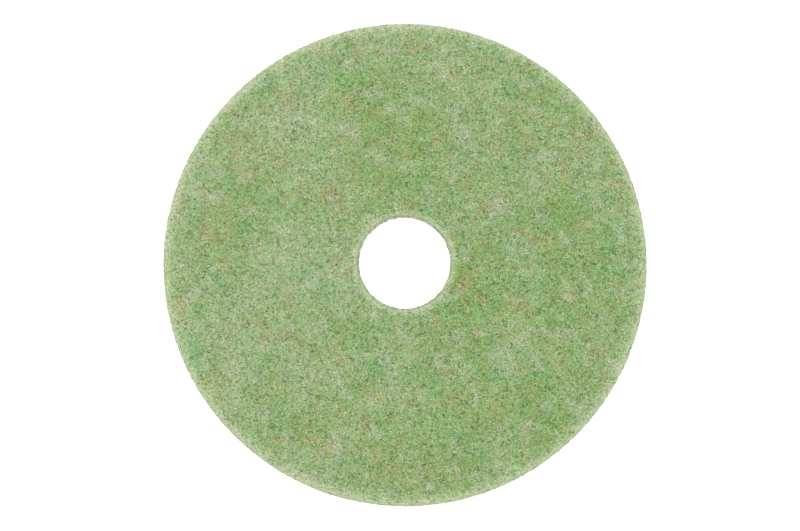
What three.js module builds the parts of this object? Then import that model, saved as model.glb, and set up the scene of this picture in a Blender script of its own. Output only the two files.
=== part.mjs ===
// A round floor polishing pad: one disc of springy non-woven fibre web, die-cut with a centre
// hole for the hub of the machine's pad driver. Millimetres, +Z up. The pad lies flat, with its
// lower face on Z = 0 and the axis of its hole on the Z axis.
//
// The pad is one piece. Its section is drawn once, as a closed loop, and turned around Z: two
// flat faces, a cut wall at the rim and another at the hole. The web is soft, so the cut rounds
// off each corner into a shoulder and the middle of each wall springs out a little.

import * as THREE from 'three';

// Driving sizes
const PAD_DIAMETER = 431.8;
const HOLE_DIAMETER = 82.6;
const PAD_THICKNESS = 25.4;

// The rounded shoulder at each corner: across the face, and down the wall
const RIM_SHOULDER_WIDTH = 7.5;
const RIM_SHOULDER_DEPTH = 6;
const HOLE_SHOULDER_WIDTH = 5.5;
const HOLE_SHOULDER_DEPTH = 5;

// How far the middle of a cut wall stands out past its shoulders
const RIM_WALL_BULGE = 1.2;
const HOLE_WALL_BULGE = 0.6;

// How finely the round shapes are drawn
const TURN_SEGMENTS = 144;
const SHOULDER_SEGMENTS = 5;
const WALL_SEGMENTS = 4;

const WEB_COLOUR = 0x95ad77;
const WEB_ROUGHNESS = 0.95;

/**
 * The section of one cut edge, from the lower face up to the upper face.
 * @param {number} edgeRadius where the wall stands out furthest
 * @param {number} side +1 for an edge that faces out, -1 for one that faces the hole
 * @param {number} shoulderWidth how far the shoulder reaches across the face
 * @param {number} shoulderDepth how far the shoulder reaches down the wall
 * @param {number} bulge how far the middle of the wall stands out past the shoulders
 * @returns {THREE.Vector2[]} points of radius and height
 */
function cutEdge(edgeRadius, side, shoulderWidth, shoulderDepth, bulge) {
  const wallRadius = edgeRadius - side * bulge;
  const faceRadius = wallRadius - side * shoulderWidth;
  const wallHeight = PAD_THICKNESS - 2 * shoulderDepth;

  const lowerShoulder = [];
  for (let step = 0; step <= SHOULDER_SEGMENTS; step++) {
    const turn = (step / SHOULDER_SEGMENTS) * (Math.PI / 2);
    const radius = faceRadius + side * shoulderWidth * Math.sin(turn);
    const height = shoulderDepth * (1 - Math.cos(turn));
    lowerShoulder.push(new THREE.Vector2(radius, height));
  }

  const wall = [];
  for (let step = 1; step < WALL_SEGMENTS; step++) {
    const share = step / WALL_SEGMENTS;
    const radius = wallRadius + side * bulge * Math.sin(share * Math.PI);
    wall.push(new THREE.Vector2(radius, shoulderDepth + share * wallHeight));
  }

  const upperShoulder = lowerShoulder
    .map((point) => new THREE.Vector2(point.x, PAD_THICKNESS - point.y))
    .reverse();
  return [...lowerShoulder, ...wall, ...upperShoulder];
}

/** The whole section as a closed loop: up the rim, across the upper face and down the hole. */
function padSection() {
  const rim = cutEdge(
    PAD_DIAMETER / 2, +1, RIM_SHOULDER_WIDTH, RIM_SHOULDER_DEPTH, RIM_WALL_BULGE,
  );
  const hole = cutEdge(
    HOLE_DIAMETER / 2, -1, HOLE_SHOULDER_WIDTH, HOLE_SHOULDER_DEPTH, HOLE_WALL_BULGE,
  );
  const loop = [...rim, ...hole.reverse()];
  return [...loop, loop[0].clone()];
}

/** The pad: its section turned around the hole's axis, which is stood up along Z. */
function makePad() {
  const geometry = new THREE.LatheGeometry(padSection(), TURN_SEGMENTS);
  geometry.rotateX(Math.PI / 2);
  const material = new THREE.MeshStandardMaterial({
    color: WEB_COLOUR,
    roughness: WEB_ROUGHNESS,
    metalness: 0,
  });
  const pad = new THREE.Mesh(geometry, material);
  pad.name = 'floor_pad';
  return pad;
}

const floorPolishingPad = new THREE.Group();
floorPolishingPad.add(makePad());

export default floorPolishingPad;
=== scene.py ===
"""A round floor polishing pad of non-woven fibre web, lying on a pale studio floor.

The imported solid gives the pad's size and place. The looks are built around it in two parts: a
lumpy closed body that fills the web's depth, and layers of curly fibres laid over every side of
it. One blend of fibre colours runs through the whole pad, so that a pale patch of the body also
holds more of the pale fibres. Everything is in metres.
"""

from __future__ import annotations

import itertools
import logging
import math
from dataclasses import dataclass, field
from enum import Enum

import bpy
import numpy as np
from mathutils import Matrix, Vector

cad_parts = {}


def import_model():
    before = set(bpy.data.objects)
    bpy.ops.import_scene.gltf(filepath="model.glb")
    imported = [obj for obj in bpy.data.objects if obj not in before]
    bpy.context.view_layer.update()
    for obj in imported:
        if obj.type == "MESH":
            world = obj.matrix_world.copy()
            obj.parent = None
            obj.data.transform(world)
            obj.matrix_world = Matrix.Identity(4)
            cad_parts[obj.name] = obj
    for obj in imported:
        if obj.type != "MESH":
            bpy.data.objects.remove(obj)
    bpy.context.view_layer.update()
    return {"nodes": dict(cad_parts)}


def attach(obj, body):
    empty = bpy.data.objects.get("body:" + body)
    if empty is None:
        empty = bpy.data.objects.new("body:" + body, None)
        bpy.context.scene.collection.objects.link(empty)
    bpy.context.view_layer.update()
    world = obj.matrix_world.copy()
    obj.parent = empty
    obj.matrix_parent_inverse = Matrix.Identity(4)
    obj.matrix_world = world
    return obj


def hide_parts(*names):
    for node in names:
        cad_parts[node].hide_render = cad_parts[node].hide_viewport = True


LOG = logging.getLogger("floor_pad")

MM = 0.001
PAD_NODE = "floor_pad"
PAD_BODY = "root"

Colour = tuple[float, float, float]
WHITE = (1.0, 1.0, 1.0, 1.0)

# The numbers of a Mix node's colour sockets, whose names its other sockets share
MIX_BELOW = 6
MIX_ABOVE = 7
MIX_RESULT = 2


def linear(colour: Colour) -> tuple[float, float, float, float]:
    """Turns a display colour into the linear colour that a shader takes.

    Args:
        colour: red, green and blue as they look on a screen, from 0 to 255.

    Returns:
        Linear red, green, blue and an alpha of 1.
    """
    shares = (channel / 255 for channel in colour)
    bent = (c / 12.92 if c <= 0.04045 else ((c + 0.055) / 1.055) ** 2.4 for c in shares)
    return (*bent, 1.0)


class Side(Enum):
    """A side of the pad, told by the way that its skin faces."""

    UPPER = 0
    RIM = 1
    HOLE = 2
    UNDER = 3


class Shade(Enum):
    """A colour of fibre in the web, as it looks on a screen."""

    MOSS = (94, 117, 68)
    LEAF = (136, 180, 98)
    FERN = (173, 213, 130)
    MINT = (152, 206, 146)
    OLIVE = (174, 182, 108)
    SAGE = (206, 220, 176)
    FLAX = (246, 248, 228)
    STRAW = (222, 208, 162)
    RUST = (194, 158, 120)


@dataclass(frozen=True, eq=False)
class Patch:
    """A kind of patch in the web.

    The shares say how many of a hundred fibres have each shade, and the tint is the colour that
    they make together.
    """

    name: str
    tint: Colour
    shares: dict[Shade, float]

    def odds(self) -> np.ndarray:
        """The shares as an array in the order of Shade, adding up to 1."""
        found = np.array([self.shares.get(shade, 0.0) for shade in Shade])
        return found / found.sum()


GREEN = Patch("green", (145, 187, 101), {
    Shade.MOSS: 28, Shade.LEAF: 24, Shade.FERN: 32, Shade.MINT: 6, Shade.OLIVE: 6,
    Shade.SAGE: 2, Shade.FLAX: 2})
PALE = Patch("pale", (196, 211, 170), {
    Shade.MOSS: 14, Shade.LEAF: 6, Shade.FERN: 14, Shade.MINT: 5, Shade.OLIVE: 2,
    Shade.SAGE: 24, Shade.FLAX: 31, Shade.STRAW: 4})
TAN = Patch("tan", (190, 187, 130), {
    Shade.MOSS: 14, Shade.LEAF: 12, Shade.FERN: 10, Shade.OLIVE: 22, Shade.SAGE: 8,
    Shade.FLAX: 8, Shade.STRAW: 23, Shade.RUST: 3})
COOL = Patch("cool", (146, 198, 132), {
    Shade.MOSS: 18, Shade.LEAF: 20, Shade.FERN: 16, Shade.MINT: 36, Shade.SAGE: 6,
    Shade.FLAX: 4})
RUSTY = Patch("rusty", (192, 174, 126), {
    Shade.MOSS: 6, Shade.LEAF: 14, Shade.FERN: 10, Shade.OLIVE: 18, Shade.SAGE: 10,
    Shade.STRAW: 26, Shade.RUST: 16})
TUFT = Patch("tuft", (216, 221, 200), {
    Shade.MOSS: 8, Shade.FERN: 8, Shade.SAGE: 24, Shade.FLAX: 60})
# The pale band near the cut walls: partly paler fibres where the web is cut, partly painted light
# that lifts the shade on the shoulders and walls
CUT_PALE_AND_PAINTED_LIGHT = Patch("cut", (240, 252, 208), {
    Shade.LEAF: 6, Shade.FERN: 22, Shade.MINT: 4, Shade.SAGE: 36, Shade.FLAX: 32})
WALL = Patch("wall", (211, 222, 184), {
    Shade.MOSS: 4, Shade.LEAF: 12, Shade.FERN: 22, Shade.OLIVE: 3, Shade.SAGE: 31,
    Shade.FLAX: 24, Shade.STRAW: 4})


class SoftNoise:
    """Smooth, repeatable noise in space, from about -1 to 1."""

    LATTICE = 48
    GAIN = 1.6

    def __init__(self, seed: int) -> None:
        """Draws the slopes at the corners of the noise's lattice.

        Args:
            seed: the number that fixes the noise.
        """
        draw = np.random.default_rng(seed)
        slopes = draw.normal(size=(self.LATTICE,) * 3 + (3,))
        self.slopes = slopes / np.linalg.norm(slopes, axis=-1, keepdims=True)
        self.turn = np.linalg.qr(draw.normal(size=(3, 3)))[0]
        self.shift = draw.uniform(0, self.LATTICE, 3)

    def at(self, points: np.ndarray, cell_size: float) -> np.ndarray:
        """The noise at some points.

        Args:
            points: places in metres, one row each.
            cell_size: the size of the lattice's cells, in metres.

        Returns:
            One number for each point.
        """
        place = points @ self.turn / cell_size + self.shift
        cell = np.floor(place).astype(int)
        part = place - cell
        # This curve runs from 0 to 1 across a cell, level and straight at both ends
        fade = part**3 * (part * (part * 6 - 15) + 10)
        total = np.zeros(len(points))
        for corner in itertools.product((0, 1), repeat=3):
            index = (cell + corner) % self.LATTICE
            slope = self.slopes[index[:, 0], index[:, 1], index[:, 2]]
            weight = np.prod(np.where(corner, fade, 1 - fade), axis=1)
            total += weight * np.einsum("ij,ij->i", slope, part - corner)
        return total * self.GAIN

    def layered(self, points: np.ndarray, layers: dict[float, float]) -> np.ndarray:
        """Several layers of the noise together.

        Args:
            points: places in metres, one row each.
            layers: the strength of the noise for each size of cell.

        Returns:
            One number for each point.
        """
        return sum(strength * self.at(points, size) for size, strength in layers.items())


@dataclass(frozen=True)
class Spots:
    """Small spots scattered through the web, at the peaks of a noise of their own."""

    seed: int
    size: float
    start: float
    gain: float
    most: float

    def share(self, points: np.ndarray) -> np.ndarray:
        """How strong a spot is at each point, from 0 up to the most."""
        peak = SoftNoise(self.seed).at(points, self.size) - self.start
        return np.clip(peak * self.gain, 0, self.most)


@dataclass
class FibreBlend:
    """How the web's colours vary from place to place.

    The layers give the strength of the noise for each size of patch. The walls show level
    streaks, as many times longer than high as their flatness says.
    """

    pale_seed: int = 11
    pale_mean: float = 0.41
    pale_layers: dict[float, float] = field(default_factory=lambda: {
        70 * MM: 0.27, 34 * MM: 0.20, 17 * MM: 0.13, 8.5 * MM: 0.14, 4.2 * MM: 0.18})
    pale_drift: Vector = Vector((-0.7, 0.1, 0.0))
    hue_seed: int = 29
    hue_layers: dict[float, float] = field(default_factory=lambda: {
        45 * MM: 0.42, 21 * MM: 0.60, 10 * MM: 0.66, 5 * MM: 0.34})
    tan_start: float = -0.16
    cool_start: float = 0.20
    rusty_spots: Spots = Spots(seed=37, size=7 * MM, start=0.42, gain=2.0, most=0.55)
    tuft_spots: Spots = Spots(seed=41, size=13 * MM, start=0.24, gain=1.1, most=0.28)
    streak_seed: int = 53
    streak_size: float = 16 * MM
    streak_flatness: float = 5.0
    streak_mean: float = 0.5
    streak_gain: float = 1.4

    def __post_init__(self) -> None:
        """Makes the noises that the patches come from."""
        self.pale_noise = SoftNoise(self.pale_seed)
        self.hue_noise = SoftNoise(self.hue_seed)
        self.streak_noise = SoftNoise(self.streak_seed)

    def layers(
        self, points: np.ndarray, cut: np.ndarray, wall: np.ndarray
    ) -> dict[Patch, np.ndarray]:
        """How strongly each kind of patch covers those before it.

        Args:
            points: places in metres, one row each.
            cut: how close each place is to a cut wall, from 0 to 1, which sets the pale band of
                partly painted light.
            wall: 1 on the cut walls themselves, down to 0 on the faces.

        Returns:
            A share from 0 to 1 at each place, for each kind of patch.
        """
        drift = points @ np.array(self.pale_drift)
        pale = self.pale_mean + drift + self.pale_noise.layered(points, self.pale_layers)
        hue = self.hue_noise.layered(points, self.hue_layers)
        flattened = points * (1, 1, self.streak_flatness)
        streak = self.streak_noise.at(flattened, self.streak_size) * self.streak_gain
        return {
            GREEN: np.ones(len(points)),
            PALE: np.clip(pale, 0, 1),
            TAN: np.clip(hue + self.tan_start, 0, 1),
            COOL: np.clip(-hue - self.cool_start, 0, 1),
            RUSTY: self.rusty_spots.share(points),
            TUFT: self.tuft_spots.share(points),
            # The pale band near the cut walls, partly painted light
            CUT_PALE_AND_PAINTED_LIGHT: cut,
            WALL: wall * np.clip(self.streak_mean + streak, 0, 1),
        }

    def pick_shades(
        self, points: np.ndarray, cut: np.ndarray, wall: np.ndarray, draw: np.random.Generator
    ) -> np.ndarray:
        """Picks a shade for each fibre.

        Args:
            points: one place for each fibre, in metres.
            cut: how close each place is to a cut wall, from 0 to 1, which sets the pale band of
                partly painted light.
            wall: 1 on the cut walls themselves, down to 0 on the faces.
            draw: the random numbers to use.

        Returns:
            The shade's place in Shade, for each fibre.
        """
        odds = np.zeros((len(points), len(Shade)))
        for patch, share in self.layers(points, cut, wall).items():
            odds = odds * (1 - share[:, None]) + patch.odds() * share[:, None]
        ladder = np.cumsum(odds, axis=1)
        return (draw.uniform(size=(len(points), 1)) > ladder[:, :-1]).sum(axis=1)


@dataclass(frozen=True)
class Shoulder:
    """The rounded corners of a cut wall, and how far its middle swells out."""

    width: float
    depth: float
    bulge: float


@dataclass
class Skin:
    """The pad's surface as one closed section line, which is turned around Z.

    A place on it is a length along the section and a turn around Z. The arrays hold one row for
    each short step along the section.
    """

    along: np.ndarray
    radius: np.ndarray
    height: np.ndarray
    out_radius: np.ndarray
    out_height: np.ndarray
    side: np.ndarray
    # How strong the pale band near a cut wall is, partly painted light
    cut: np.ndarray
    wall: np.ndarray

    @property
    def length(self) -> float:
        """The whole length of the section line."""
        return float(self.along[-1])

    def read(self, values: np.ndarray, along: np.ndarray) -> np.ndarray:
        """Reads one of the skin's arrays at some lengths along the closed section."""
        return np.interp(np.mod(along, self.length), self.along, values)

    def side_at(self, along: float) -> Side:
        """The side that a length along the section lies on."""
        return Side(int(self.side[np.searchsorted(self.along, along)]))

    def ring_areas(self, side: Side) -> np.ndarray:
        """The area of each short step of one side, turned around Z, and 0 elsewhere."""
        step = np.gradient(self.along)
        return np.where(self.side == side.value, math.tau * self.radius * step, 0.0)

    def place(self, along: np.ndarray, turn: np.ndarray, out: np.ndarray) -> np.ndarray:
        """Points over the skin.

        Args:
            along: lengths along the section.
            turn: angles around Z.
            out: how far each point stands out from the skin.

        Returns:
            Points in metres, with X, Y and Z last.
        """
        radius = self.read(self.radius, along) + out * self.read(self.out_radius, along)
        height = self.read(self.height, along) + out * self.read(self.out_height, along)
        return np.stack([radius * np.cos(turn), radius * np.sin(turn), height], axis=-1)

    def outward(self, along: np.ndarray, turn: np.ndarray) -> np.ndarray:
        """The outward direction at some places, with X, Y and Z last."""
        flat = self.read(self.out_radius, along)
        rise = self.read(self.out_height, along)
        return np.stack([flat * np.cos(turn), flat * np.sin(turn), rise], axis=-1)


@dataclass(frozen=True)
class PadSection:
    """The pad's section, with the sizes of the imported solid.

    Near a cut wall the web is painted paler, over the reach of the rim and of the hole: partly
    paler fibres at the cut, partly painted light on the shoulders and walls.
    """

    rim_radius: float
    hole_radius: float
    thickness: float
    rim: Shoulder = Shoulder(width=7.5 * MM, depth=6.0 * MM, bulge=1.2 * MM)
    hole: Shoulder = Shoulder(width=5.5 * MM, depth=5.0 * MM, bulge=0.6 * MM)
    shoulder_steps: int = 24
    wall_steps: int = 16
    line_step: float = 0.1 * MM
    wall_slope: float = 0.5
    rim_reach: float = 16.5 * MM
    hole_reach: float = 9.5 * MM
    cut_sharpness: float = 1.85
    cut_most: float = 0.78
    wall_start: float = 0.85

    @classmethod
    def of_node(cls, node: bpy.types.Object) -> PadSection:
        """Measures the section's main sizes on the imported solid."""
        corners = np.array([corner.co for corner in node.data.vertices])
        radii = np.hypot(corners[:, 0], corners[:, 1])
        return cls(float(radii.max()), float(radii.min()), float(corners[:, 2].max()))

    def cut_edge(self, edge_radius: float, facing: int, shoulder: Shoulder) -> np.ndarray:
        """The section of one cut edge, from the lower face up to the upper face.

        Args:
            edge_radius: where the wall stands out furthest.
            facing: 1 for an edge that faces out, -1 for one that faces the hole.
            shoulder: the edge's rounded corners.

        Returns:
            Rows of radius and height.
        """
        wall_radius = edge_radius - facing * shoulder.bulge
        turn = np.linspace(0, math.pi / 2, self.shoulder_steps)
        across = wall_radius - facing * shoulder.width * (1 - np.sin(turn))
        lower = np.column_stack([across, shoulder.depth * (1 - np.cos(turn))])
        share = np.linspace(0, 1, self.wall_steps)[1:-1]
        swell = facing * shoulder.bulge * np.sin(share * math.pi)
        rise = shoulder.depth + share * (self.thickness - 2 * shoulder.depth)
        wall = np.column_stack([wall_radius + swell, rise])
        upper = np.column_stack([lower[:, 0], self.thickness - lower[:, 1]])[::-1]
        return np.vstack([lower, wall, upper])

    def skin(self) -> Skin:
        """The closed section line, read off at short even steps."""
        rim = self.cut_edge(self.rim_radius, 1, self.rim)
        hole = self.cut_edge(self.hole_radius, -1, self.hole)[::-1]
        loop = np.vstack([rim, hole, rim[:1]])
        steps = np.linalg.norm(np.diff(loop, axis=0), axis=1)
        lengths = np.concatenate([[0], np.cumsum(steps)])
        along = np.append(np.arange(0, lengths[-1], self.line_step), lengths[-1])
        radius = np.interp(along, lengths, loop[:, 0])
        height = np.interp(along, lengths, loop[:, 1])
        ahead = np.gradient(np.column_stack([radius, height]), axis=0)
        ahead /= np.linalg.norm(ahead, axis=1, keepdims=True)
        out_radius, out_height = ahead[:, 1], -ahead[:, 0]
        return Skin(
            along=along,
            radius=radius,
            height=height,
            out_radius=out_radius,
            out_height=out_height,
            side=self.sides(out_radius, out_height),
            cut=self.cut_share(radius),
            wall=self.wall_share(out_radius),
        )

    def sides(self, out_radius: np.ndarray, out_height: np.ndarray) -> np.ndarray:
        """The number of the side that each outward direction belongs to."""
        wall = np.where(out_radius > 0, Side.RIM.value, Side.HOLE.value)
        face = np.where(out_height > 0, Side.UPPER.value, Side.UNDER.value)
        return np.where(np.abs(out_height) > self.wall_slope, face, wall)

    def wall_share(self, out_radius: np.ndarray) -> np.ndarray:
        """How much each outward direction belongs to a wall, from 0 to 1."""
        return np.clip((np.abs(out_radius) - self.wall_start) / (1 - self.wall_start), 0, 1)

    def cut_share(self, radius: np.ndarray) -> np.ndarray:
        """How strongly the pale band near a cut wall, partly painted light, shows at each radius,
        from 0 on the face.
        """
        to_rim = (self.rim_radius - radius) / self.rim_reach
        to_hole = (radius - self.hole_radius) / self.hole_reach
        near = np.clip(1 - np.minimum(to_rim, to_hole), 0, 1)
        return self.cut_most * near**self.cut_sharpness


def mesh_piece(name: str, points: np.ndarray, faces: np.ndarray) -> bpy.types.Object:
    """Makes a smooth-shaded object from points and triangles, and links it to the scene.

    Args:
        name: the piece's name.
        points: places in metres, one row each.
        faces: three point numbers for each triangle.

    Returns:
        The new object.
    """
    mesh = bpy.data.meshes.new(name)
    mesh.vertices.add(len(points))
    mesh.vertices.foreach_set("co", points.astype(np.float32).ravel())
    mesh.loops.add(faces.size)
    mesh.loops.foreach_set("vertex_index", faces.astype(np.int32).ravel())
    mesh.polygons.add(len(faces))
    mesh.polygons.foreach_set("loop_start", np.arange(0, faces.size, 3, dtype=np.int32))
    mesh.polygons.foreach_set("use_smooth", np.ones(len(faces), dtype=bool))
    mesh.update(calc_edges=True)
    mesh.validate()
    piece = bpy.data.objects.new(name, mesh)
    bpy.context.scene.collection.objects.link(piece)
    return piece


@dataclass
class WebBody:
    """The lumpy closed body that fills the depth of the web, under its outer fibres.

    It lies a little below the skin, with broad swells on the faces and small lumps all over,
    which are calmer on the walls.
    """

    JITTER_SEED = 5
    SWELL_SEED = 3
    LUMP_SEED = 7

    skin: Skin
    blend: FibreBlend
    name: str = "web_body"
    face_depth: float = 1.05 * MM
    wall_depth: float = 0.2 * MM
    outer_cell: float = 1.75 * MM
    under_cell: float = 2.6 * MM
    jitter: float = 0.24
    swells: dict[float, float] = field(default_factory=lambda: {
        30 * MM: 0.12 * MM, 11 * MM: 0.12 * MM, 5 * MM: 0.10 * MM})
    lumps: dict[float, float] = field(default_factory=lambda: {
        5 * MM: 0.15 * MM, 2.8 * MM: 0.34 * MM})
    nap: float = 0.18 * MM
    wall_calm: float = 0.8
    highest_lump: float = 0.85
    deepest_lump: float = 1.05 * MM

    def rings(self) -> tuple[np.ndarray, np.ndarray]:
        """Where the mesh's rings lie along the section, and the cell size at each."""
        places, cells = [], []
        place = 0.0
        while place < self.skin.length:
            is_under = self.skin.side_at(place) is Side.UNDER
            cell = self.under_cell if is_under else self.outer_cell
            places.append(place)
            cells.append(cell)
            place += cell * math.sqrt(3) / 2
        return np.array(places), np.array(cells)

    def build(self) -> bpy.types.Object:
        """Makes the body's mesh, with its blend of colours as point attributes.

        Returns:
            The body, which is one closed mesh.
        """
        draw = np.random.default_rng(self.JITTER_SEED)
        places, cells = self.rings()
        around = math.tau * self.skin.read(self.skin.radius, places)
        counts = np.round(around / cells).astype(int)
        starts = np.concatenate([[0], np.cumsum(counts)])
        ring = np.repeat(np.arange(len(places)), counts)
        step = np.arange(starts[-1]) - starts[ring]
        loose = draw.uniform(-self.jitter, self.jitter, (2, starts[-1]))
        turn = math.tau * (step + 0.5 * (ring % 2) + loose[0]) / counts[ring]
        along = places[ring] + cells[ring] * loose[1]
        wall_share = self.skin.read(self.skin.out_radius, along) ** 2
        depth = self.face_depth + (self.wall_depth - self.face_depth) * wall_share
        middle = self.skin.place(along, turn, -depth)
        swell = SoftNoise(self.SWELL_SEED).layered(middle, self.swells)
        lump = SoftNoise(self.LUMP_SEED).layered(middle, self.lumps)
        lump += draw.normal(0, self.nap, len(ring))
        lift = swell * (1 - wall_share) + lump * (1 - self.wall_calm * wall_share)
        lift = np.clip(lift, -self.deepest_lump, self.face_depth * self.highest_lump)
        points = self.skin.place(along, turn, lift - depth)
        following = np.roll(np.arange(len(places)), -1)
        bands = zip(starts, counts, starts[following], counts[following])
        faces = np.vstack([self.stitch(*band) for band in bands])
        body = mesh_piece(self.name, points, faces)
        # The pale band near the cut walls is partly painted light
        cut = self.skin.read(self.skin.cut, along)
        wall = self.skin.read(self.skin.wall, along)
        for patch, share in self.blend.layers(middle, cut, wall).items():
            attribute = body.data.attributes.new(patch.name, "FLOAT", "POINT")
            attribute.data.foreach_set("value", share.astype(np.float32))
        return body

    @staticmethod
    def stitch(first: int, count: int, next_first: int, next_count: int) -> np.ndarray:
        """Fills the band between two rings with triangles.

        Args:
            first: the number of the first ring's first point.
            count: how many points the first ring has.
            next_first: the number of the second ring's first point.
            next_count: how many points the second ring has.

        Returns:
            Three point numbers for each triangle.
        """
        steps = np.concatenate([
            (np.arange(count) + 0.5) / count,
            (np.arange(next_count) + 0.5) / next_count,
        ])
        order = np.argsort(steps, kind="stable")
        near = order < count
        here = np.cumsum(near) - near
        there = np.cumsum(~near) - ~near
        corner = first + here % count
        corner_ahead = first + (here + 1) % count
        across = next_first + there % next_count
        across_ahead = next_first + (there + 1) % next_count
        third = np.where(near, corner_ahead, across_ahead)
        return np.column_stack([corner, third, across])


@dataclass(frozen=True)
class Lay:
    """How the fibres of a side are curled and laid.

    What shows of a long fibre is a row of short arcs, where it comes up out of the web and goes
    down again, so each arc is made by itself. It crosses the skin between knots one step apart,
    and its ends are thinner and buried in the body, apart from a few whose last part rises free
    above the skin. The levelling is how strongly the fibres keep level on a wall.
    """

    knots: int = 4
    shortest_step: float = 0.6 * MM
    longest_step: float = 1.15 * MM
    thinnest: float = 0.15 * MM
    thickest: float = 0.27 * MM
    taper: float = 0.5
    taper_power: int = 6
    deepest: float = -0.75 * MM
    highest: float = 0.0 * MM
    dip: float = 0.7 * MM
    dip_power: float = 3.0
    bend: float = 0.42
    crimp: float = 0.25
    free_share: float = 0.08
    free_from: float = 0.5
    free_rise: float = 0.5 * MM
    rise_power: int = 4
    levelling: float = 0.0


@dataclass
class FibreLayer:
    """A layer of loose curly fibres laid over one side of the pad."""

    name: str
    skin: Skin
    blend: FibreBlend
    side: Side
    density: float
    seed: int
    lay: Lay = Lay()

    CORNERS = 3

    def __post_init__(self) -> None:
        """Works out how many fibres the side's area takes."""
        self.areas = self.skin.ring_areas(self.side)
        self.count = round(self.density * float(self.areas.sum()))

    def headings(self, draw: np.random.Generator) -> np.ndarray:
        """Draws the way that each fibre heads at each knot, as an angle over the skin.

        Args:
            draw: the random numbers to use.

        Returns:
            Angles with one row for a fibre and one column for a knot.
        """
        lay = self.lay
        first = draw.uniform(0, math.tau, (self.count, 1))
        first += lay.levelling * np.sin(2 * first)
        bend = draw.normal(0, lay.bend, (self.count, 1))
        crimp = draw.normal(0, lay.crimp, (self.count, lay.knots))
        return first + bend * np.arange(lay.knots) + crimp

    def depths(self, draw: np.random.Generator) -> np.ndarray:
        """Draws how far each knot stands out from the skin.

        Args:
            draw: the random numbers to use.

        Returns:
            Distances with one row for a fibre and one column for a knot.
        """
        lay = self.lay
        share = np.arange(lay.knots) / (lay.knots - 1)
        out = draw.uniform(lay.deepest, lay.highest, (self.count, 1))
        dipped = out - lay.dip * np.abs(2 * share - 1) ** lay.dip_power
        risen = out + lay.free_rise * share**lay.rise_power
        freed = np.where(share > lay.free_from, risen, dipped)
        is_free = draw.uniform(size=(self.count, 1)) < lay.free_share
        return np.where(is_free, freed, dipped)

    def paths(self, draw: np.random.Generator) -> tuple[np.ndarray, np.ndarray, np.ndarray]:
        """Draws the fibres' paths over the skin.

        Args:
            draw: the random numbers to use.

        Returns:
            Lengths along the section, turns around Z and distances out from the skin, each with
            one row for a fibre and one column for a knot.
        """
        size = (self.count, 1)
        step = draw.uniform(self.lay.shortest_step, self.lay.longest_step, size)
        heading = self.headings(draw)
        sum_of_areas = np.cumsum(self.areas)
        start = np.interp(draw.uniform(0, sum_of_areas[-1], size), sum_of_areas, self.skin.along)
        walk = np.cumsum(step * np.cos(heading), axis=1)
        along = start + walk - walk.mean(axis=1, keepdims=True)
        radius = self.skin.read(self.skin.radius, along)
        turn = draw.uniform(0, math.tau, size) + np.cumsum(step * np.sin(heading) / radius, axis=1)
        return along, turn, self.depths(draw)

    def build(self) -> bpy.types.Object:
        """Makes the layer as one mesh of closed three-sided tubes.

        Returns:
            The layer, with a material number for each fibre's shade.
        """
        draw = np.random.default_rng(self.seed)
        along, turn, out = self.paths(draw)
        thick = draw.uniform(self.lay.thinnest, self.lay.thickest, (self.count, 1))
        ends = np.abs(np.linspace(-1, 1, self.lay.knots)) ** self.lay.taper_power
        thick = thick * (1 - self.lay.taper * ends)
        centre = self.skin.place(along, turn, out)
        centre[..., 2] = np.maximum(centre[..., 2], thick)
        points = self.tube_points(centre, self.skin.outward(along, turn), thick, draw)
        layer = mesh_piece(self.name, points, self.tube_faces())
        middle = self.lay.knots // 2
        # Near a cut wall the fibres' shades lean pale, partly painted light
        cut = self.skin.read(self.skin.cut, along[:, middle])
        wall = self.skin.read(self.skin.wall, along[:, middle])
        shade = self.blend.pick_shades(centre[:, middle], cut, wall, draw)
        faces_each = len(layer.data.polygons) // self.count
        numbers = np.repeat(shade, faces_each).astype(np.int32)
        layer.data.polygons.foreach_set("material_index", numbers)
        return layer

    def tube_points(
        self, centre: np.ndarray, up: np.ndarray, thick: np.ndarray, draw: np.random.Generator
    ) -> np.ndarray:
        """Places a ring of corners around each knot.

        Args:
            centre: the knots' places.
            up: the outward direction at each knot.
            thick: the fibre's radius at each knot.
            draw: the random numbers to use.

        Returns:
            One row for each corner.
        """
        ahead = np.gradient(centre, axis=1)
        ahead /= np.linalg.norm(ahead, axis=-1, keepdims=True)
        across = np.cross(ahead, up)
        across /= np.linalg.norm(across, axis=-1, keepdims=True)
        up = np.cross(across, ahead)
        roll = draw.uniform(0, math.tau, (self.count, 1))
        rings = []
        for corner in range(self.CORNERS):
            angle = roll + math.tau * corner / self.CORNERS
            reach = np.cos(angle)[..., None] * up + np.sin(angle)[..., None] * across
            rings.append(centre + thick[..., None] * reach)
        return np.stack(rings, axis=2).reshape(-1, 3)

    def tube_faces(self) -> np.ndarray:
        """The triangles of all the layer's tubes, with a cap at each end."""
        sides = self.CORNERS
        knots = self.lay.knots
        found = []
        for knot, corner in itertools.product(range(knots - 1), range(sides)):
            here = knot * sides + corner
            beside = knot * sides + (corner + 1) % sides
            found.append((here, here + sides, beside))
            found.append((beside, here + sides, beside + sides))
        last = (knots - 1) * sides
        found.append((0, 1, 2))
        found.append((last, last + 2, last + 1))
        shift = np.arange(self.count)[:, None, None] * knots * sides
        return (np.array(found)[None] + shift).reshape(-1, 3)


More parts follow.
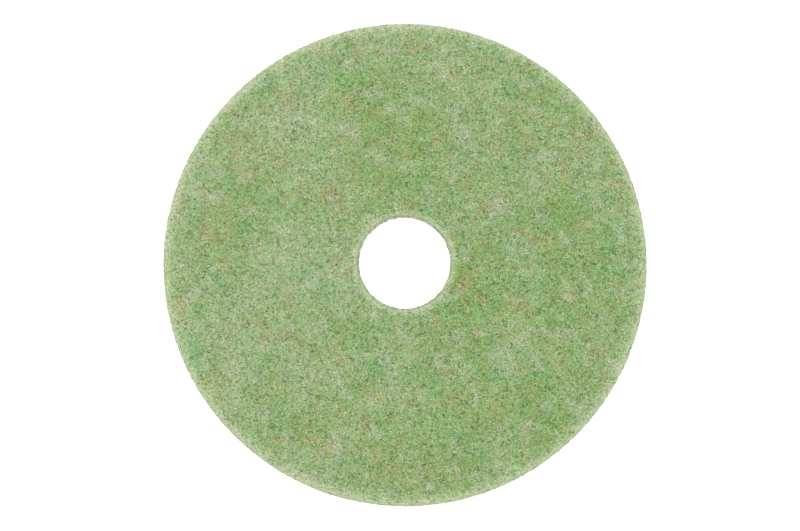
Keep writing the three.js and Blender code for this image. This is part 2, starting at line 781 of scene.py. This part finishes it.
class Sketch:
    """A short way to lay out a material's nodes."""

    def __init__(self, name: str) -> None:
        """Starts an empty material.

        Args:
            name: the material's name.
        """
        self.material = bpy.data.materials.new(name)
        self.material.use_nodes = True
        self.tree = self.material.node_tree
        self.tree.nodes.clear()

    def node(self, kind: str, inputs: dict | None = None, **settings: object) -> bpy.types.Node:
        """Adds a node.

        Args:
            kind: the node's type.
            inputs: a value or a socket for each named or numbered input.
            settings: the node's own properties.

        Returns:
            The new node.
        """
        made = self.tree.nodes.new(kind)
        for key, value in settings.items():
            setattr(made, key, value)
        for key, value in (inputs or {}).items():
            if isinstance(value, bpy.types.NodeSocket):
                self.tree.links.new(value, made.inputs[key])
            else:
                made.inputs[key].default_value = value
        return made

    def maths(self, operation: str, *values: object) -> bpy.types.NodeSocket:
        """The result of a Math node on some numbers or sockets."""
        return self.node("ShaderNodeMath", dict(enumerate(values)), operation=operation).outputs[0]

    def mix(self, share: object, below: object, above: object) -> bpy.types.NodeSocket:
        """The colour of two colours blended at a share from 0 to 1."""
        inputs = {"Factor": share, MIX_BELOW: below, MIX_ABOVE: above}
        return self.node("ShaderNodeMix", inputs, data_type="RGBA").outputs[MIX_RESULT]

    def tinted(self, colour: object, tint: object) -> bpy.types.NodeSocket:
        """One colour times another, with no channel above 1."""
        inputs = {"Factor": 1.0, MIX_BELOW: colour, MIX_ABOVE: tint}
        made = self.node("ShaderNodeMix", inputs, data_type="RGBA", blend_type="MULTIPLY",
                         clamp_result=True)
        return made.outputs[MIX_RESULT]

    def surface(self, shader: bpy.types.NodeSocket) -> bpy.types.Material:
        """Ends the material with its surface shader."""
        self.node("ShaderNodeOutputMaterial", {"Surface": shader})
        return self.material


@dataclass(frozen=True)
class Strand:
    """One layer of fine fibres in the body's pattern.

    The strands follow the middle value of a noise with cells of this size. The width is how far
    from that value they reach, the height is a share of the relief, and the light is painted light
    and shade: how bright they are beside the patch that they lie in, higher strands lighter.
    """

    cell_size: float
    width: float
    height: float
    light: float


@dataclass(frozen=True)
class WebFinish:
    """The finish of the web's body: fine strands of painted light over gaps of painted shade,
    tinted by the kind of patch.

    Near the cut walls the painted light and shade of strands and gaps are drawn towards an even 1,
    which paints the web lighter there, and the walls keep some of the grain.
    """

    # Painted shade in the gaps between the strands
    gap_light: float = 0.26
    # Painted light on the strands, lighter the higher they lie
    strands: tuple[Strand, ...] = (
        Strand(1.30 * MM, 0.110, 0.30, 0.62),
        Strand(1.45 * MM, 0.100, 0.50, 0.88),
        Strand(1.20 * MM, 0.085, 0.70, 1.10),
        Strand(1.35 * MM, 0.070, 0.85, 1.30),
        Strand(1.60 * MM, 0.050, 1.00, 1.50),
    )
    layer_shift: tuple[float, float, float] = (0.37, 0.61, 0.83)
    strand_detail: float = 1.0
    strand_roughness: float = 0.45
    strand_twist: float = 0.35
    cut_painted_lightening: float = 0.6
    wall_grain: float = 0.45
    relief: float = 0.5 * MM
    bump: float = 0.8
    roughness: float = 0.9
    gloss: float = 0.25
    sheen: float = 0.1
    sheen_roughness: float = 0.5

    def strand_mask(
        self, sketch: Sketch, place: bpy.types.NodeSocket, number: int
    ) -> bpy.types.NodeSocket:
        """Draws one layer of strands.

        Args:
            sketch: the material.
            place: where the surface is.
            number: which layer of strands.

        Returns:
            1 along the middle of each strand, down to 0 between strands.
        """
        strand = self.strands[number]
        apart = tuple(number * shift for shift in self.layer_shift)
        moved = sketch.node("ShaderNodeVectorMath", {0: place, 1: apart}, operation="ADD")
        noise = sketch.node("ShaderNodeTexNoise", {
            "Vector": moved.outputs[0], "Scale": 1 / strand.cell_size,
            "Detail": self.strand_detail, "Roughness": self.strand_roughness,
            "Distortion": self.strand_twist})
        away = sketch.maths("ABSOLUTE", sketch.maths("SUBTRACT", noise.outputs[0], 0.5))
        mask = sketch.node("ShaderNodeMapRange", {
            "Value": away, "From Min": 0.0, "From Max": strand.width, "To Min": 1.0,
            "To Max": 0.0}, interpolation_type="SMOOTHSTEP")
        return mask.outputs[0]

    def tint(self, sketch: Sketch) -> bpy.types.NodeSocket:
        """The colour of the patch that a place lies in."""
        colour: object = linear(GREEN.tint)
        # The pale tint of the band near the cut walls is partly painted light
        for patch in (PALE, TAN, COOL, RUSTY, TUFT, CUT_PALE_AND_PAINTED_LIGHT, WALL):
            share = sketch.node("ShaderNodeAttribute", attribute_name=patch.name).outputs["Fac"]
            colour = sketch.mix(share, colour, linear(patch.tint))
        return colour

    def material(self) -> bpy.types.Material:
        """Makes the body's material."""
        sketch = Sketch("web_body")
        place = sketch.node("ShaderNodeTexCoord").outputs["Object"]
        # The light is painted shade in the gaps and painted light on the strands, lighter the
        # higher they lie
        light: object = (self.gap_light,) * 3 + (1.0,)
        height: object = 0.0
        for number, strand in enumerate(self.strands):
            mask = self.strand_mask(sketch, place, number)
            light = sketch.mix(mask, light, (strand.light,) * 3 + (1.0,))
            height = sketch.maths("MAXIMUM", height, sketch.maths("MULTIPLY", mask, strand.height))
        cut = sketch.node("ShaderNodeAttribute", attribute_name=CUT_PALE_AND_PAINTED_LIGHT.name).outputs["Fac"]
        wall = sketch.node("ShaderNodeAttribute", attribute_name=WALL.name).outputs["Fac"]
        # Near the cut walls the painted light and shade are drawn towards an even 1, which paints
        # the band there lighter
        kept_grain = sketch.maths("MULTIPLY", wall, self.wall_grain)
        painted_lightening = sketch.maths("MULTIPLY", cut, sketch.maths("SUBTRACT", 1.0, kept_grain))
        light = sketch.mix(sketch.maths("MULTIPLY", painted_lightening, self.cut_painted_lightening), light, WHITE)
        colour = sketch.tinted(light, self.tint(sketch))
        bump = sketch.node("ShaderNodeBump", {
            "Strength": self.bump, "Distance": self.relief, "Height": height})
        surface = sketch.node("ShaderNodeBsdfPrincipled", {
            "Base Color": colour, "Roughness": self.roughness, "Specular IOR Level": self.gloss,
            "Sheen Weight": self.sheen, "Sheen Roughness": self.sheen_roughness,
            "Normal": bump.outputs[0]})
        return sketch.surface(surface.outputs[0])


@dataclass(frozen=True)
class FibreFinish:
    """The finish of one shade of loose fibre."""

    shade: Shade
    roughness: float = 0.55
    gloss: float = 0.3
    sheen: float = 0.1
    sheen_roughness: float = 0.4

    def material(self) -> bpy.types.Material:
        """Makes the shade's material."""
        sketch = Sketch(f"fibre_{self.shade.name.lower()}")
        surface = sketch.node("ShaderNodeBsdfPrincipled", {
            "Base Color": linear(self.shade.value), "Roughness": self.roughness,
            "Specular IOR Level": self.gloss, "Sheen Weight": self.sheen,
            "Sheen Roughness": self.sheen_roughness})
        return sketch.surface(surface.outputs[0])


@dataclass
class FloorPad:
    """The whole pad: its body and the fibres on each of its sides.

    The densities count the fibres in each square metre. The upper face's fibres are shared out
    over several pieces, to keep each piece light. The fill is how tight the web is, as a pad, and
    is not used.
    """

    section: PadSection
    blend: FibreBlend = field(default_factory=FibreBlend)
    fill: float = 0.9
    upper_pieces: int = 4
    upper_density: float = 60_000
    upper_seed: int = 40
    wall_density: float = 150_000
    rim_seed: int = 61
    rim_lay: Lay = Lay(
        deepest=-0.15 * MM, highest=0.25 * MM, free_share=0.1, free_rise=0.4 * MM,
        levelling=0.3)
    hole_seed: int = 71
    hole_lay: Lay = Lay(
        deepest=0.4 * MM, highest=0.8 * MM, free_share=0.05, free_rise=0.3 * MM,
        levelling=0.3)
    under_density: float = 17_000
    under_seed: int = 51
    under_lay: Lay = Lay(highest=-0.25 * MM, free_share=0.0)

    def layers(self, skin: Skin) -> list[FibreLayer]:
        """The fibre layers of all the sides."""
        blend, wall_density = self.blend, self.wall_density
        upper = [
            FibreLayer(f"upper_fibres_{number}", skin, blend, Side.UPPER, self.upper_density,
                       self.upper_seed + number)
            for number in range(1, self.upper_pieces + 1)
        ]
        return [
            *upper,
            FibreLayer("under_fibres", skin, blend, Side.UNDER, self.under_density,
                       self.under_seed, self.under_lay),
            FibreLayer("rim_fibres", skin, blend, Side.RIM, wall_density, self.rim_seed,
                       self.rim_lay),
            FibreLayer("hole_fibres", skin, blend, Side.HOLE, wall_density, self.hole_seed,
                       self.hole_lay),
        ]

    def build(self) -> list[bpy.types.Object]:
        """Makes and dresses every piece of the pad.

        Returns:
            The pieces, the body first.
        """
        skin = self.section.skin()
        body = WebBody(skin, self.blend).build()
        body.data.materials.append(WebFinish().material())
        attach(body, PAD_BODY)
        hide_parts(PAD_NODE)
        finishes = [FibreFinish(shade).material() for shade in Shade]
        pieces = [body]
        for layer in self.layers(skin):
            piece = layer.build()
            for finish in finishes:
                piece.data.materials.append(finish)
            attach(piece, PAD_BODY)
            pieces.append(piece)
        return pieces


@dataclass(frozen=True)
class Lamp:
    """A soft square lamp that faces the pad, with its power in watts."""

    name: str
    place: Vector
    power: float
    size: float = 0.75

    def build(self) -> None:
        """Adds the lamp to the scene."""
        data = bpy.data.lights.new(self.name, "AREA")
        data.size = self.size
        data.energy = self.power
        lamp = bpy.data.objects.new(self.name, data)
        lamp.location = self.place
        lamp.rotation_mode = "QUATERNION"
        lamp.rotation_quaternion = (-self.place).to_track_quat("-Z", "Y")
        bpy.context.scene.collection.objects.link(lamp)


@dataclass
class Studio:
    """The pale floor, the soft lights and the camera above the pad.

    The pad's middle and width are those that it has in the picture, in pixels.
    """

    pad_radius: float
    pad_thickness: float
    floor_size: float = 8.0
    floor_colour: Colour = (244, 244, 244)
    floor_lift: float = 0.68
    sky_light: float = 0.46
    lamps: tuple[Lamp, ...] = (
        Lamp("key_lamp", Vector((-1.5, 1.05, 3.0)), 48),
        Lamp("fill_lamp", Vector((1.5, -1.05, 3.0)), 42),
    )
    picture_width: int = 800
    picture_height: int = 531
    pad_middle: tuple[float, float] = (404.55, 263.1)
    pad_width: float = 482.9
    lens: float = 70.0
    sensor: float = 36.0
    lean: float = math.radians(3.5)
    lean_turn: float = math.radians(15.0)

    def make_camera(self) -> None:
        """Puts the camera above the pad, so that the pad fills the photograph's place.

        The rim is widest halfway up, so that is the height at which the sizes are set.
        """
        per_pixel = 2 * self.pad_radius / self.pad_width
        distance = self.lens / self.sensor * self.picture_width * per_pixel
        right = (self.picture_width / 2 - self.pad_middle[0]) * per_pixel
        up = (self.pad_middle[1] - self.picture_height / 2) * per_pixel
        aim = Vector((right, up, self.pad_thickness / 2))
        back = Vector((
            math.sin(self.lean) * math.sin(self.lean_turn),
            -math.sin(self.lean) * math.cos(self.lean_turn),
            math.cos(self.lean),
        ))
        data = bpy.data.cameras.new("camera")
        data.lens = self.lens
        data.sensor_width = self.sensor
        camera = bpy.data.objects.new("camera", data)
        camera.location = aim + back * distance
        camera.rotation_euler = (math.asin(-back.y), math.atan2(back.x, back.z), 0.0)
        bpy.context.scene.collection.objects.link(camera)
        bpy.context.scene.camera = camera

    def make_world(self) -> None:
        """Lights the scene evenly from all round, and shows white behind it."""
        world = bpy.data.worlds.new("studio")
        world.use_nodes = True
        nodes, links = world.node_tree.nodes, world.node_tree.links
        nodes.clear()
        path = nodes.new("ShaderNodeLightPath")
        seen = path.outputs["Is Camera Ray"]
        for ray in ("Is Glossy Ray", "Is Transmission Ray"):
            either = nodes.new("ShaderNodeMath")
            either.operation = "MAXIMUM"
            links.new(seen, either.inputs[0])
            links.new(path.outputs[ray], either.inputs[1])
            seen = either.outputs[0]
        mixed = nodes.new("ShaderNodeMixShader")
        links.new(seen, mixed.inputs[0])
        for number, strength in enumerate((self.sky_light, 1.0), start=1):
            background = nodes.new("ShaderNodeBackground")
            background.inputs["Color"].default_value = WHITE
            background.inputs["Strength"].default_value = strength
            links.new(background.outputs[0], mixed.inputs[number])
        output = nodes.new("ShaderNodeOutputWorld")
        links.new(mixed.outputs[0], output.inputs["Surface"])
        bpy.context.scene.world = world

    def floor_material(self) -> bpy.types.Material:
        """A matt pale floor that the camera sees as white, apart from the pad's shadow."""
        sketch = Sketch("studio_floor")
        path = sketch.node("ShaderNodeLightPath")
        seen = sketch.maths("MAXIMUM", path.outputs["Is Camera Ray"], path.outputs["Is Glossy Ray"])
        seen = sketch.maths("MAXIMUM", seen, path.outputs["Is Transmission Ray"])
        matt = sketch.node("ShaderNodeBsdfDiffuse", {"Color": linear(self.floor_colour)})
        lift = sketch.node("ShaderNodeEmission", {
            "Color": WHITE, "Strength": sketch.maths("MULTIPLY", seen, self.floor_lift)})
        both = sketch.node("ShaderNodeAddShader", {0: matt.outputs[0], 1: lift.outputs[0]})
        return sketch.surface(both.outputs[0])

    def make_floor(self) -> None:
        """Lays the floor under the pad."""
        half = self.floor_size / 2
        corners = np.array([[-half, -half, 0], [half, -half, 0], [half, half, 0], [-half, half, 0]])
        floor = mesh_piece("studio_floor", corners, np.array([[0, 1, 2], [0, 2, 3]]))
        floor.data.materials.append(self.floor_material())

    def build(self) -> None:
        """Makes the camera, the lights and the floor."""
        self.make_camera()
        self.make_world()
        for lamp in self.lamps:
            lamp.build()
        self.make_floor()
        bpy.context.scene.view_settings.view_transform = "Standard"


def main() -> None:
    """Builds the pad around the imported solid, and the studio around the pad."""
    logging.basicConfig(level=logging.INFO, format="%(name)s: %(message)s")
    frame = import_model()
    section = PadSection.of_node(frame["nodes"][PAD_NODE])
    Studio(section.rim_radius, section.thickness).build()
    for piece in FloorPad(section).build():
        LOG.info("%s has %d triangles", piece.name, len(piece.data.polygons))


if __name__ == "__main__":
    main()
